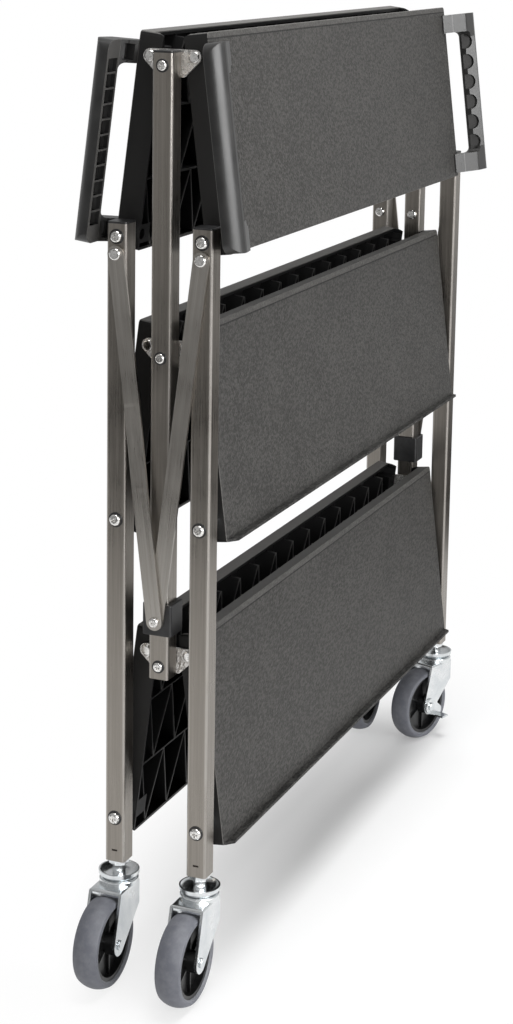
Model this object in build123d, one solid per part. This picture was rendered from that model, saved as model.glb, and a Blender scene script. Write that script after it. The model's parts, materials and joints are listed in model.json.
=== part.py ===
from build123d import *
import os
from math import atan2, degrees, hypot, sqrt

# Folding trolley, folded flat, in mm. X runs along the trolley from the near end to the braked far end,
# +Y is its left side and Z is up from the floor.

# Tube frame
FRAME_LENGTH = 850.0  # outer face of the near legs to outer face of the far legs
LEG_SPREAD = 97.0  # between the left and right leg axes when folded
TUBE = 23.0  # square tube across its flats
TUBE_WALL = 1.5
TUBE_CORNER = 2.8
LEG_RISE = 690.0  # lower end of the legs to the leg bolts of the top shelf
LEG_OVER = 15.5  # leg above its top bolt
MID_DROP = 303.5  # middle shelf pivots below the top ones
LOW_DROP = 639.5  # low shelf pivots below the top ones
PIN_SPREAD = 50.0  # between the two hinge pins of a bracket
PIN_RISE = 186.0  # hinge pin above the leg bolt of the same shelf half
POST_SETBACK = 5.0  # post behind the outer face of the legs
POST_OVER = 7.0  # post above its top hinge pins
POST_UNDER = 22.0  # post below its lowest hinge pins
CAP = 2.0  # visible plate of a tube plug
PLUG_CLEAR = 1.0  # between a plug and the bolt below it

# Shelf halves
SHELF_INSET = 31.5  # shelf end behind the outer face of the legs
SHELF_TOP = 16.0  # tread above the pivot line
SHELF_DEEP = 11.0  # walls below the pivot line
TREAD = 3.0
SHELF_WALL = 3.0
INNER_WALL = 4.5
INNER_HIGH = 15.0  # inner wall below the tread, with open ribs under it
CENTRE_GAP = 2.0  # between the two halves when open
TOP_OVER = 17.5  # top shelf beyond its leg bolts
MID_OVER = 21.5  # middle shelf beyond its leg bolts
LOW_OVER = 26.5  # low shelf beyond its leg bolts
RIM = 9.0  # upstand along the outer edge of the middle and low shelves
SHELF_CORNER = 4.0
EDGE_ROUND = 1.2
RIB = 2.0
RIB_SHORT = 0.5  # ribs end this far above the lower edge of the walls
RIB_STEPS = 14  # zigzags along a shelf half
RIB_BAYS = 3
BOSS = 20.0  # pivot block width
BOSS_LONG = 24.0  # pivot block along X
BOSS_OVER = 7.0  # pivot block above the pivot line

# Hand grips on the top shelf halves
GRIP_OUT = 13.0  # grip beyond the outer face of the legs
GRIP_IN = 14.0  # inner side of the grip bar, behind the outer face of the legs
GRIP_LOW = 28.0  # underside of the grip bar above the pivot line
GRIP_HIGH = 47.0  # top of the grip bar above the pivot line
GRIP_WALL = 3.0
GRIP_FOOT = 14.0  # foot on the tread, along X
GRIP_START = 13.0  # grip beyond the hinge pin towards the middle
GRIP_END = 12.5  # grip beyond the leg bolt
ARM_IN = 24.0  # arm width at the middle of the trolley
ARM_OUT = 25.0  # arm width at the leg
GRIP_CORNER = 12.0
POCKETS = 13
SCOOPS = 6
SCOOP_R = 10.0
SCOOP_DEEP = 3.5

# Pivots, braces and sliders
BOLT_D = 8.0
BOLT_HEAD = 13.0
BOLT_HEAD_HIGH = 4.5
SPACER_D = 16.0
PIN_D = 7.0
PIN_HEAD = 12.0
PIN_HEAD_HIGH = 2.5
BRACKET = 2.5  # bracket plate
EAR_R = 7.5
BRACKET_LOW = 16.0  # lower corner centres below the pins
BRACKET_HALF = 12.0  # lower corner centres from the middle
BRACKET_CORNER = 5.0
BRACKET_LIP = 6.0
SCREW_DROP = 8.0  # bracket screw below the pins
SCREW_D = 6.0
SCREW_HEAD = 11.0
SCREW_HEAD_HIGH = 3.2
BRACE_DROP = 18.0  # brace rivet below the top leg bolt
BRACE_WIDE = 18.0
BRACE = 3.0  # brace plate
BRACE_HOLE_DROP = 408.5  # brace screw below the top leg bolts when folded
JOGGLE_AT = 0.40  # share of the brace length down to the joggle
JOGGLE = 90.0  # length of the joggle
SLIDER_WIDE = 34.0
SLIDER_UP = 18.0
SLIDER_DOWN = 17.0
SLIDER_BACK = 3.0
SLIDER_CORNER = 3.0
CATCH_DROP = 74.0  # small screws at the far end, below the top leg bolts
DIMPLE_UP = 12.0  # small slot above the lower end of the legs

# Casters
WHEEL_D = 100.0
TYRE_WIDE = 29.0
TYRE_INNER = 80.0
HUB_WIDE = 24.0
HUB_BOSS = 24.0
HUB_RIM = 4.0  # wall of the hub under the tyre
TRAIL = 38.0  # axle behind the swivel axis
FORK_GAP = 33.0  # between the fork legs
FORK = 3.0  # fork plate
TYRE_CLEAR = 4.0  # tyre to the fork plate above it
FORK_END_R = 12.0
FORK_FRONT = 33.5  # edge of the fork's top plate over the wheel, from the swivel axis
FORK_TRIM = 2.0  # the top plate is drawn this far beyond its round end, and then cut round
FORK_KNEE = 44.0  # where the straight leading edge of the fork ends, above the axle
STEM_HIGH = 25.0  # top of the fork plate to the lower end of the leg
RACE_D = 45.0
RACE_HIGH = 4.5
CUP_HIGH = 8.0  # dished cup above the race
CUP_LIP = 1.6  # rim of the cup
STEM_D = 12.0
STEM_IN = 30.0  # stem inside the leg
NUT = 19.0
NUT_HIGH = 5.5
AXLE_D = 8.0
AXLE_HEAD = 11.0
AXLE_HEAD_HIGH = 2.5
FAR_RIGHT_TURN = -18.0  # the far right caster stands turned inwards
PEDAL = 2.5  # pedal plate
PEDAL_R = 11.0
PEDAL_REACH = 17.0
PEDAL_TAB = 13.0
HANDLE_SCREW_D = 5.0
HANDLE_SCREW_HEAD = 10.0
HANDLE_SCREW_IN = 8.0

# Clearances
RUN = 0.1  # radial, turning on a pin or shaft
HOLD = 0.05  # radial, bolt in its own hole
APART = 0.3  # between faces that slide past each other

HALF = FRAME_LENGTH / 2
LEG_Y = LEG_SPREAD / 2
PIN_Y = PIN_SPREAD / 2
LINK = hypot(LEG_Y - PIN_Y, PIN_RISE)
FOLD = degrees(atan2(PIN_RISE, LEG_Y - PIN_Y))
LEVELS = {"top": 0.0, "mid": MID_DROP, "low": LOW_DROP}
AXLE_Z = WHEEL_D / 2
FORK_TOP = WHEEL_D + TYRE_CLEAR + FORK
LEG_BOTTOM = FORK_TOP + STEM_HIGH
TOP_BOLT_Z = LEG_BOTTOM + LEG_RISE
BRACE_HOLE_Z = TOP_BOLT_Z - BRACE_HOLE_DROP
CATCH_Z = TOP_BOLT_Z - CATCH_DROP
DIMPLE_Z = LEG_BOTTOM + DIMPLE_UP
PIN_TOP_Z = TOP_BOLT_Z + PIN_RISE
LEG_TOP = TOP_BOLT_Z + LEG_OVER
POST_TOP = PIN_TOP_Z + POST_OVER
POST_BOTTOM = PIN_TOP_Z - LOW_DROP - POST_UNDER
LEG_X = -HALF + TUBE / 2
POST_X = LEG_X + POST_SETBACK
BRACKET_X = -HALF + POST_SETBACK + TUBE
SHELF_X = HALF - SHELF_INSET
BRACE_Z = TOP_BOLT_Z - BRACE_DROP
BRACE_LONG = hypot(LEG_Y, BRACE_Z - BRACE_HOLE_Z)
BRACE_TURN = degrees(atan2(LEG_Y, BRACE_Z - BRACE_HOLE_Z))
# The origin is under the middle of the overall box, from the near wheels to the far grips.
ORIGIN = ((HALF - TUBE / 2 + TRAIL + WHEEL_D / 2) - (HALF + GRIP_OUT)) / 2


def block(x0, x1, y0, y1, z0, z1):
    return Pos((x0 + x1) / 2, (y0 + y1) / 2, (z0 + z1) / 2) * Box(x1 - x0, y1 - y0, z1 - z0)


def rod_x(d, x0, x1, y, z):
    return Pos((x0 + x1) / 2, y, z) * Rot(0, 90, 0) * Cylinder(d / 2, x1 - x0)


def rod_y(d, y0, y1, x, z):
    return Pos(x, (y0 + y1) / 2, z) * Rot(90, 0, 0) * Cylinder(d / 2, y1 - y0)


def rod_z(d, z0, z1, x=0.0, y=0.0):
    return Pos(x, y, (z0 + z1) / 2) * Cylinder(d / 2, z1 - z0)


def prism_x(points, x0, x1):
    face = Plane.YZ * make_face(Polyline(*points, close=True))
    return Pos(x0, 0, 0) * extrude(face, x1 - x0)


def prism_y(points, y0, y1):
    face = Plane.XZ * make_face(Polyline(*points, close=True))
    return Pos(0, y1, 0) * extrude(face, y1 - y0)


def half_turn(shape):
    """The same piece at the other end and on the other side."""
    return Rot(0, 0, 180) * shape


def dome(d, high, x, y, z):
    """Domed head on the -X side of x."""
    head = rod_x(d, x - high, x, y, z)
    return fillet(head.edges().group_by(Axis.X)[0], high * 0.7)


def cross_head(d, high, x, y, z):
    """Domed head with a cross recess."""
    head = dome(d, high, x, y, z)
    long = d * 0.5
    wide = d * 0.14
    deep = high * 0.5
    head -= block(x - high, x - high + deep, y - long / 2, y + long / 2, z - wide / 2, z + wide / 2)
    head -= block(x - high, x - high + deep, y - wide / 2, y + wide / 2, z - long / 2, z + long / 2)
    return head


def tube(x, y, z0, z1):
    section = RectangleRounded(TUBE, TUBE, TUBE_CORNER)
    inner = TUBE - 2 * TUBE_WALL
    section -= RectangleRounded(inner, inner, TUBE_CORNER * 0.4)
    return Pos(x, y, z0) * extrude(section, z1 - z0)


def tube_plug(x, y, z, bolt_top):
    """Plug whose plate ends at z, reaching down into the tube to just above a bolt."""
    deep = z - CAP - bolt_top - PLUG_CLEAR
    inner = TUBE - 2 * TUBE_WALL - 2 * HOLD
    plate = extrude(RectangleRounded(TUBE, TUBE, TUBE_CORNER), CAP)
    plate = fillet(plate.edges().group_by(Axis.Z)[-1], CAP * 0.4)
    body = Pos(0, 0, -deep) * extrude(RectangleRounded(inner, inner, TUBE_CORNER * 0.4), deep)
    return Pos(x, y, z - CAP) * (plate + body)


# Legs: square tube with the bolt holes, the brace rivet hole in the outer wall and a small slot.
def leg(y):
    part = tube(LEG_X, y, LEG_BOTTOM, LEG_TOP - CAP)
    for drop in LEVELS.values():
        part -= rod_x(BOLT_D + 2 * HOLD, -HALF - 1, -HALF + TUBE + 1, y, TOP_BOLT_Z - drop)
    part -= rod_x(SCREW_D + 2 * HOLD, -HALF - 1, -HALF + TUBE / 2, y, BRACE_Z)
    long = TUBE * 0.28
    part -= block(-HALF - 1, -HALF + TUBE / 2, y - long / 2, y + long / 2, DIMPLE_Z, DIMPLE_Z + TUBE * 0.09)
    return part


def catch_hole(x, y):
    return rod_x(SCREW_D + 2 * HOLD, x - 1, x + TUBE / 2, y, CATCH_Z)


def catch_screw(x, y):
    return cross_head(BOLT_HEAD, SCREW_HEAD_HIGH, x, y, CATCH_Z) + rod_x(SCREW_D, x, x + TUBE / 2 - 1, y, CATCH_Z)


def leg_bolt(y, z):
    shank = rod_x(BOLT_D, -HALF, -HALF + SHELF_INSET + BOSS_LONG - 3, y, z)
    return cross_head(BOLT_HEAD, BOLT_HEAD_HIGH, -HALF, y, z) + shank


def spacer(y, z):
    x0 = -HALF + TUBE
    x1 = -HALF + SHELF_INSET - APART
    return rod_x(SPACER_D, x0, x1, y, z) - rod_x(BOLT_D + 2 * HOLD, x0 - 1, x1 + 1, y, z)


def brace_rivet(y):
    x0 = -HALF - BRACE - 2 * APART
    shank = rod_x(SCREW_D, x0, -HALF + TUBE_WALL, y, BRACE_Z)
    inner = rod_x(SCREW_HEAD, -HALF + TUBE_WALL, -HALF + TUBE_WALL + 2, y, BRACE_Z)
    return dome(BOLT_HEAD, SCREW_HEAD_HIGH, x0, y, BRACE_Z) + shank + inner


# Centre posts with their stamped brackets, screws and hinge pins.
def post():
    part = tube(POST_X, 0, POST_BOTTOM, POST_TOP - CAP)
    for drop in LEVELS.values():
        z = PIN_TOP_Z - drop - SCREW_DROP
        part -= rod_x(SCREW_D + 2 * HOLD, POST_X - TUBE, POST_X + TUBE, 0, z)
    return part


def bracket(z):
    outline = Sketch() + [Pos(side * PIN_Y, 0) * Circle(EAR_R) for side in (-1, 1)]
    outline += [Pos(side * BRACKET_HALF, -BRACKET_LOW) * Circle(BRACKET_CORNER) for side in (-1, 1)]
    plate = Pos(BRACKET_X, 0, z) * extrude(Plane.YZ * make_hull(outline.edges()), BRACKET)
    low = z - BRACKET_LOW - BRACKET_CORNER + BRACKET * 0.2
    lip_y = BRACKET_HALF - BRACKET
    plate += block(BRACKET_X + BRACKET / 2, BRACKET_X + BRACKET + BRACKET_LIP, -lip_y, lip_y, low, low + BRACKET)
    for side in (-1, 1):
        plate -= rod_x(PIN_D + 2 * HOLD, BRACKET_X - 1, BRACKET_X + BRACKET + 1, side * PIN_Y, z)
    return plate - rod_x(SCREW_D + 2 * HOLD, BRACKET_X - 1, BRACKET_X + BRACKET + 1, 0, z - SCREW_DROP)


def bracket_screw(z):
    x0 = -HALF + POST_SETBACK
    shank = rod_x(SCREW_D, x0, BRACKET_X + BRACKET + APART, 0, z - SCREW_DROP)
    return cross_head(SCREW_HEAD, SCREW_HEAD_HIGH, x0, 0, z - SCREW_DROP) + shank


def hinge_pin(y, z):
    head = dome(PIN_HEAD, PIN_HEAD_HIGH, BRACKET_X, y, z)
    shank = rod_x(PIN_D, BRACKET_X, -HALF + SHELF_INSET + BOSS_LONG - 3, y, z)
    washer = rod_x(PIN_HEAD, BRACKET_X + BRACKET, -HALF + SHELF_INSET - APART, y, z)
    return head + shank + washer


def inset(corners, by):
    """Moves the sides of a triangle inwards by a distance."""
    a, b, c = [Vector(*p) for p in corners]
    sides = [(b - c).length, (c - a).length, (a - b).length]
    middle = (a * sides[0] + b * sides[1] + c * sides[2]) * (1 / sum(sides))
    reach = abs((b - a).cross(c - a).Z) / sum(sides)
    moved = [middle + (p - middle) * ((reach - by) / reach) for p in (a, b, c)]
    return [(p.X, p.Y) for p in moved]


# Shelf half, drawn open: Y runs outwards from its hinge pins and Z is up from the pivot line.
def shelf(over, rim):
    y0 = -(PIN_Y - CENTRE_GAP / 2)
    y1 = LINK + over
    # Lower inner corner, cut back so that the two halves clear each other as they turn.
    reach = PIN_Y - CENTRE_GAP / 4
    nose = [(y0, SHELF_TOP), (y0, -0.85 * sqrt(reach**2 - y0**2))]
    nose.append((-0.98 * sqrt(reach**2 - SHELF_DEEP**2), -SHELF_DEEP))
    part = prism_x(nose + [(y1, -SHELF_DEEP), (y1, SHELF_TOP)], -SHELF_X, SHELF_X)
    plan = Pos(0, (y0 + y1) / 2) * RectangleRounded(2 * SHELF_X, y1 - y0, SHELF_CORNER)
    part &= Pos(0, 0, -SHELF_DEEP - 1) * extrude(plan, SHELF_TOP + SHELF_DEEP + 2)
    part = fillet(part.faces().sort_by(Axis.Z)[-1].outer_wire().edges(), EDGE_ROUND)
    if rim:
        high = SHELF_TOP + RIM
        edge = [(-SHELF_X + SHELF_CORNER, SHELF_TOP - TREAD), (SHELF_X - SHELF_CORNER, SHELF_TOP - TREAD)]
        edge += [(SHELF_X - SHELF_CORNER, SHELF_TOP), (SHELF_X - SHELF_CORNER - RIM * 0.7, high)]
        edge += [(-SHELF_X + SHELF_CORNER + RIM * 0.7, high), (-SHELF_X + SHELF_CORNER, SHELF_TOP)]
        part += prism_y(edge, y1 - SHELF_WALL, y1)
    in0 = y0 + INNER_WALL
    in1 = y1 - SHELF_WALL
    in_x = SHELF_X - SHELF_WALL
    # Triangular cells in long bays, which leave zigzag ribs between them.
    bay = (in1 - in0 + RIB) / RIB_BAYS
    step = (in_x + RIB / 2) / RIB_STEPS
    cells = []
    for k in range(RIB_BAYS):
        low = in0 - RIB / 2 + k * bay
        turns = [(-in_x - RIB / 2 + n * step, low + bay * (n % 2)) for n in range(2 * RIB_STEPS + 1)]
        ends = [(turns[0][0], low + bay), (turns[-1][0], low + bay)]
        bays = [turns[n:n + 3] for n in range(2 * RIB_STEPS - 1)]
        bays += [[ends[0], *turns[:2]], [*turns[-2:], ends[1]]]
        cells += [make_face(Polyline(*inset(corners, RIB / 2), close=True)) for corners in bays]
    deep = SHELF_TOP - TREAD + SHELF_DEEP
    part -= [Pos(0, 0, -SHELF_DEEP) * extrude(cell, deep) for cell in cells]
    part -= block(-in_x, in_x, in0, in1, -SHELF_DEEP - 1, -SHELF_DEEP + RIB_SHORT)
    part -= block(-in_x, in_x, y0 - 1, in0 + RIB, -SHELF_DEEP - 1, SHELF_TOP - INNER_HIGH)
    # Pivot blocks at both ends, with the holes for the hinge pins and the leg bolts.
    for y, d in ((0.0, PIN_D), (LINK, BOLT_D)):
        for end in (-1, 1):
            x0, x1 = sorted((end * (SHELF_X - 0.5), end * (SHELF_X - BOSS_LONG)))
            part += block(x0, x1, y - BOSS / 2, y + BOSS / 2, -SHELF_DEEP, BOSS_OVER)
        part -= rod_x(d + 2 * RUN, -SHELF_X - 1, -SHELF_X + BOSS_LONG + 1, y, 0)
        part -= rod_x(d + 2 * RUN, SHELF_X - BOSS_LONG - 1, SHELF_X + 1, y, 0)
    return part


def handle_screw_spots():
    """Screw places of the near grip, one in each foot."""
    x = -SHELF_X + GRIP_FOOT * 0.45
    return [(x, -GRIP_START + ARM_IN / 2), (x, LINK + GRIP_END - ARM_OUT / 2)]


def handle_screw(x, y):
    low = SHELF_TOP - TREAD
    return rod_z(HANDLE_SCREW_HEAD, low - 3, low, x, y) + rod_z(HANDLE_SCREW_D, low, SHELF_TOP + HANDLE_SCREW_IN, x, y)


def handle_screw_holes(part):
    low = SHELF_TOP - TREAD
    for x, y in handle_screw_spots():
        for spot in ((x, y), (-x, y)):
            part -= rod_z(HANDLE_SCREW_D + 2 * HOLD, low - 1, SHELF_TOP + 1, *spot)
            part -= rod_z(HANDLE_SCREW_HEAD + 2, -SHELF_DEEP - 1, low, *spot)
    return part


# Hand grip at the near end of a shelf half, drawn open like the shelf.
def handle():
    x0 = -HALF - GRIP_OUT
    x1 = -HALF + GRIP_IN
    foot = -SHELF_X + GRIP_FOOT
    crest = -SHELF_X - GRIP_FOOT * 0.65
    y0 = -GRIP_START
    y1 = LINK + GRIP_END
    open0 = y0 + ARM_IN
    open1 = y1 - ARM_OUT
    slope = GRIP_HIGH - GRIP_LOW
    section = [(x0, GRIP_LOW), (x0, GRIP_HIGH), (x1 - slope * 0.5, GRIP_HIGH), (crest, GRIP_HIGH - slope * 0.2)]
    section += [(foot, SHELF_TOP + 2), (foot, SHELF_TOP), (-SHELF_X, SHELF_TOP), (x1, GRIP_LOW)]
    part = prism_y(section, y0, y1)
    top = [e for e in part.edges().filter_by(Axis.Y) if e.center().Z > GRIP_LOW + slope * 0.5]
    part = fillet([e for e in top if e.center().X > x0 + 1], slope * 0.3)
    part = fillet(part.edges().filter_by(Axis.Y).group_by(Axis.X)[0].sort_by(Axis.Z)[-1], slope * 0.82)
    plan = Pos(foot, (y0 + y1) / 2) * RectangleRounded(2 * (foot - x0), y1 - y0, GRIP_CORNER)
    part &= extrude(plan, GRIP_HIGH + 1)
    # Hand opening between the arms, with the sloped inner side of the bar.
    gap = Pos(x1 + (foot - x0), (open0 + open1) / 2) * RectangleRounded(2 * (foot - x0), open1 - open0, GRIP_CORNER * 0.6)
    part -= extrude(gap, GRIP_HIGH + 1)
    ramp = [(x1 - slope * 0.5, GRIP_HIGH + 1), (x1 - slope * 0.5, GRIP_HIGH), (x1, GRIP_HIGH - slope * 0.55)]
    ramp += [(x1 + slope, GRIP_HIGH - slope * 0.55), (x1 + slope, GRIP_HIGH + 1)]
    part -= prism_y(ramp, open0 + GRIP_CORNER * 0.6, open1 - GRIP_CORNER * 0.6)
    # Pockets along the underside of the bar, with cross ribs left between them.
    pitch = (y1 - y0 - 2 * GRIP_WALL + RIB) / POCKETS
    for k in range(POCKETS):
        p0 = y0 + GRIP_WALL + k * pitch
        p1 = p0 + pitch - RIB
        in0 = x0 + GRIP_WALL * 1.3
        if 0 < k < POCKETS - 1:
            part -= block(in0, x1 - GRIP_WALL, p0, p1, GRIP_LOW - 1, GRIP_LOW + slope * 0.26)
            part -= block(in0, x1 - slope * 0.62, p0, p1, GRIP_LOW, GRIP_HIGH - slope * 0.55)
    # Hollows under the two arms.
    back = -SHELF_X - GRIP_WALL
    hollow = [(x1 + GRIP_WALL, 0), (x1 + GRIP_WALL, GRIP_HIGH - 2.4 * GRIP_WALL), (crest, GRIP_HIGH - 2.6 * GRIP_WALL)]
    hollow += [(back, SHELF_TOP + slope * 0.7), (back, 0)]
    part -= prism_y(hollow, y0 + GRIP_WALL * 1.3, open0 - GRIP_WALL)
    part -= prism_y(hollow, open1 + GRIP_WALL, y1 - GRIP_WALL * 1.3)
    # Finger scoops on the sloped side.
    spread = (open1 - open0) / SCOOPS
    for k in range(SCOOPS):
        spot = (x1, open0 + (k + 0.5) * spread, GRIP_HIGH - slope * 0.55)
        tilt = Plane(origin=spot, x_dir=(0, 1, 0), z_dir=(0.55, 0, 0.5))
        part -= tilt * Cylinder(SCOOP_R, 2 * SCOOP_DEEP)
    for x, y in handle_screw_spots():
        part -= rod_z(HANDLE_SCREW_D + 2 * HOLD, SHELF_TOP - 1, SHELF_TOP + HANDLE_SCREW_IN, x, y)
    return part


def far_end(shape):
    """Mirror image at the other end of the same shelf half."""
    return mirror(shape, about=Plane.YZ)


def folded(shape, level):
    """Turns an open left shelf piece down to its folded place."""
    return Pos(0, PIN_Y, PIN_TOP_Z - LEVELS[level]) * Rot(-FOLD, 0, 0) * shape


# Flat braces. Both hang from the legs; the left one is joggled outwards to lie over the right one.
def brace(joggled):
    x_in = -HALF - APART
    x_out = x_in - BRACE
    plan = SlotCenterToCenter(BRACE_LONG, BRACE_WIDE)
    bar = Pos(0, 0, -BRACE_LONG / 2) * extrude(Plane.YZ * Rot(0, 0, 90) * plan, FRAME_LENGTH, both=True)
    shift = BRACE + APART if joggled else 0.0
    bend0 = -BRACE_LONG * JOGGLE_AT
    bend1 = bend0 - JOGGLE
    high = BRACE_WIDE
    low = -BRACE_LONG - BRACE_WIDE
    edge = [(x_out, high), (x_in, high), (x_in, bend0), (x_in - shift, bend1), (x_in - shift, low)]
    edge += [(x_out - shift, low), (x_out - shift, bend1), (x_out, bend0)]
    part = bar & prism_y(edge, -BRACE_WIDE, BRACE_WIDE)
    for z in (0.0, -BRACE_LONG):
        part -= rod_x(SCREW_D + 2 * RUN, x_out - shift - 1, x_in + 1, 0, z)
    return part


def hung(shape, side):
    """Puts a brace in its folded place on the left (1) or the right (-1)."""
    return Pos(0, side * LEG_Y, BRACE_Z) * Rot(-side * BRACE_TURN, 0, 0) * shape


def brace_screw():
    x1 = -HALF - APART - BRACE - APART
    x0 = x1 - BRACE
    return cross_head(SCREW_HEAD, SCREW_HEAD_HIGH, x0, 0, BRACE_HOLE_Z) + rod_x(SCREW_D, x0, x1, 0, BRACE_HOLE_Z)


def slider():
    x1 = BRACKET_X + SLIDER_BACK
    z0 = BRACE_HOLE_Z - SLIDER_DOWN
    z1 = BRACE_HOLE_Z + SLIDER_UP
    part = block(-HALF, x1, -SLIDER_WIDE / 2, SLIDER_WIDE / 2, z0, z1)
    part = fillet(part.edges().filter_by(Axis.Z), SLIDER_CORNER)
    part = fillet(part.faces().sort_by(Axis.Z)[-1].edges() + part.faces().sort_by(Axis.Z)[0].edges(), SLIDER_CORNER * 0.4)
    wide = TUBE / 2 + APART
    return part - block(POST_X - wide, POST_X + wide, -wide, wide, z0 - 1, z1 + 1)


# Casters, drawn with the swivel axis on Z and the wheel trailing towards -X.
def stem():
    low = FORK_TOP + RACE_HIGH + APART
    rim = low + CUP_HIGH
    floor = low + CUP_HIGH * 0.3
    wide = RACE_D / 2 - CUP_LIP
    neck = NUT * 0.5
    bend = (neck + (wide - neck) * 0.65, floor + (rim - floor) * 0.3)
    bowl = ThreePointArc((wide, rim), bend, (neck, floor))
    sides = Polyline((neck, floor), (0, floor), (0, rim + 1), (wide, rim + 1), (wide, rim))
    cup = chamfer(rod_z(RACE_D, low, rim).edges().group_by(Axis.Z)[0], CUP_HIGH * 0.5)
    cup -= revolve(Plane.XZ * make_face(bowl.edges() + sides.edges()), Axis.Z)
    cup += rod_z(STEM_D * 1.2, low + 1, LEG_BOTTOM)
    top = LEG_BOTTOM - NUT_HIGH
    nut = Pos(0, 0, top) * extrude(RegularPolygon(NUT / 2, 6, major_radius=False), NUT_HIGH)
    inner = TUBE - 2 * TUBE_WALL - 2 * HOLD
    plug = Pos(0, 0, LEG_BOTTOM) * extrude(RectangleRounded(inner, inner, TUBE_CORNER * 0.4), STEM_IN)
    rivet_z = FORK_TOP - FORK - APART
    rivet = rod_z(STEM_D * 1.5, rivet_z - FORK, rivet_z) + rod_z(STEM_D, rivet_z, low + 1)
    return cup + nut + plug + rivet


def fork():
    wide = FORK_GAP / 2 + FORK
    side = Pos(-TRAIL, AXLE_Z) * Circle(FORK_END_R)
    back = -FORK_FRONT
    round_end = wide + FORK
    rear = round_end + FORK_TRIM
    head = Pos((back + rear) / 2, FORK_TOP - FORK * 1.5) * Rectangle(rear - back, FORK * 3)
    knee = Pos(rear - FORK_END_R / 2, AXLE_Z + FORK_KNEE) * Circle(FORK_END_R / 2)
    outline = make_hull(side.edges() + head.edges() + knee.edges())
    part = Pos(0, wide, 0) * extrude(Plane.XZ * outline, 2 * wide)
    # From above, the fork is square over the wheel and round on the other side.
    plan = Circle(round_end) + Pos(-TRAIL, 0) * Rectangle(2 * TRAIL, 2 * wide)
    part &= extrude(plan, 2 * FORK_TOP)
    part = fillet(part.faces().sort_by(Axis.Z)[-1].outer_wire().edges(), FORK * 0.9)
    part -= block(-2 * TRAIL - RACE_D, RACE_D, -FORK_GAP / 2, FORK_GAP / 2, 0, FORK_TOP - FORK)
    # Lip over the tyre, following its height at that place.
    tyre_z = AXLE_Z + sqrt((WHEEL_D / 2) ** 2 - (TRAIL + back) ** 2)
    part += block(back, back + FORK, -wide + 1, wide - 1, tyre_z + TYRE_CLEAR * 0.4, FORK_TOP - FORK * 0.5)
    race = rod_z(RACE_D * 0.97, FORK_TOP - FORK * 0.4, FORK_TOP + RACE_HIGH)
    part += fillet(race.edges().group_by(Axis.Z)[-1], RACE_HIGH * 0.35)
    part -= rod_z(STEM_D + 2 * RUN, FORK_TOP - 2 * FORK, FORK_TOP + RACE_HIGH + 1)
    return part - rod_y(AXLE_D + 2 * HOLD, -wide - 1, wide + 1, -TRAIL, AXLE_Z)


def axle(brake_room):
    """Axle bolt; on the braked casters it is longer on the outer (-Y) side to hold the pedal."""
    wide = FORK_GAP / 2 + FORK
    low = -wide - brake_room
    part = rod_y(AXLE_D, low, wide, -TRAIL, AXLE_Z)
    for y0, y1 in ((wide, wide + AXLE_HEAD_HIGH), (low - AXLE_HEAD_HIGH, low)):
        head = rod_y(AXLE_HEAD, y0, y1, -TRAIL, AXLE_Z)
        part += chamfer(head.edges().filter_by(GeomType.CIRCLE), AXLE_HEAD_HIGH * 0.25)
    return part


def ring_y(points):
    """Turned piece round the wheel axle, from (radius, width) points."""
    face = make_face(Polyline(*points, close=True))
    return Pos(-TRAIL, 0, AXLE_Z) * revolve(face, Axis.Y)


def tyre():
    r1 = WHEEL_D / 2
    r0 = TYRE_INNER / 2
    deep = r1 - r0
    half = TYRE_WIDE / 2
    edge = r1 - deep * 0.45
    crown = ThreePointArc((edge, half), (r1, 0), (edge, -half))
    side = [(edge, half), (r0 + deep * 0.15, half), (r0, half * 0.85)]
    flanks = Polyline(*side, *[(r, -w) for r, w in reversed(side)])
    part = Pos(-TRAIL, 0, AXLE_Z) * revolve(make_face(crown.edges() + flanks.edges()), Axis.Y)
    shoulders = [e for e in part.edges().filter_by(GeomType.CIRCLE) if abs(e.radius - edge) < 0.01]
    return fillet(shoulders, deep * 0.3)


def hub():
    r1 = TYRE_INNER / 2 - HOLD
    rim = r1 - HUB_RIM
    boss = HUB_BOSS / 2
    half = HUB_WIDE / 2
    web = HUB_WIDE * 0.16
    bore = AXLE_D / 2 + RUN
    end = FORK_GAP / 2 - APART
    face = [(bore, end), (boss, end), (boss, web), (rim, web), (rim, half), (r1, half)]
    part = ring_y(face + [(r, -w) for r, w in reversed(face)])
    for k in range(6):
        spoke = block(boss - 1, rim + 1, -half * 0.6, half * 0.6, -RIB / 2, RIB / 2)
        part += Pos(-TRAIL, 0, AXLE_Z) * Rot(0, 60 * k + 30, 0) * spoke
    return part


def pedal():
    """Brake lever on the outer (-Y) side of the fork, turning on the axle."""
    y1 = -FORK_GAP / 2 - FORK - APART
    y0 = y1 - PEDAL
    eye = Circle(PEDAL_R)
    tip = Pos(PEDAL_REACH, -PEDAL_R * 0.9) * Circle(PEDAL_R * 0.7)
    plate = Plane.XZ * make_hull(eye.edges() + tip.edges())
    part = Pos(-TRAIL, y1, AXLE_Z) * extrude(plate, PEDAL)
    part -= rod_y(AXLE_D + 2 * RUN, y0 - 1, y1 + 1, -TRAIL, AXLE_Z)
    tab = block(PEDAL_REACH - PEDAL_R * 0.6, PEDAL_REACH + PEDAL_R * 0.6, y0 - PEDAL_TAB, y0 + 1, 0, PEDAL)
    return part + Pos(-TRAIL, 0, AXLE_Z - PEDAL_R * 1.6) * tab


def at_leg(shape, end, side, turn=0.0):
    """Puts a caster piece under the near (-1) or far (1) leg on the left (1) or right (-1)."""
    return Pos(-end * LEG_X, side * LEG_Y, 0) * Rot(0, 0, turn) * shape


def group(shapes):
    return Compound(children=list(shapes))


nodes = {}
heights = {name: TOP_BOLT_Z - drop for name, drop in LEVELS.items()}
pins = {name: PIN_TOP_Z - drop for name, drop in LEVELS.items()}

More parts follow.
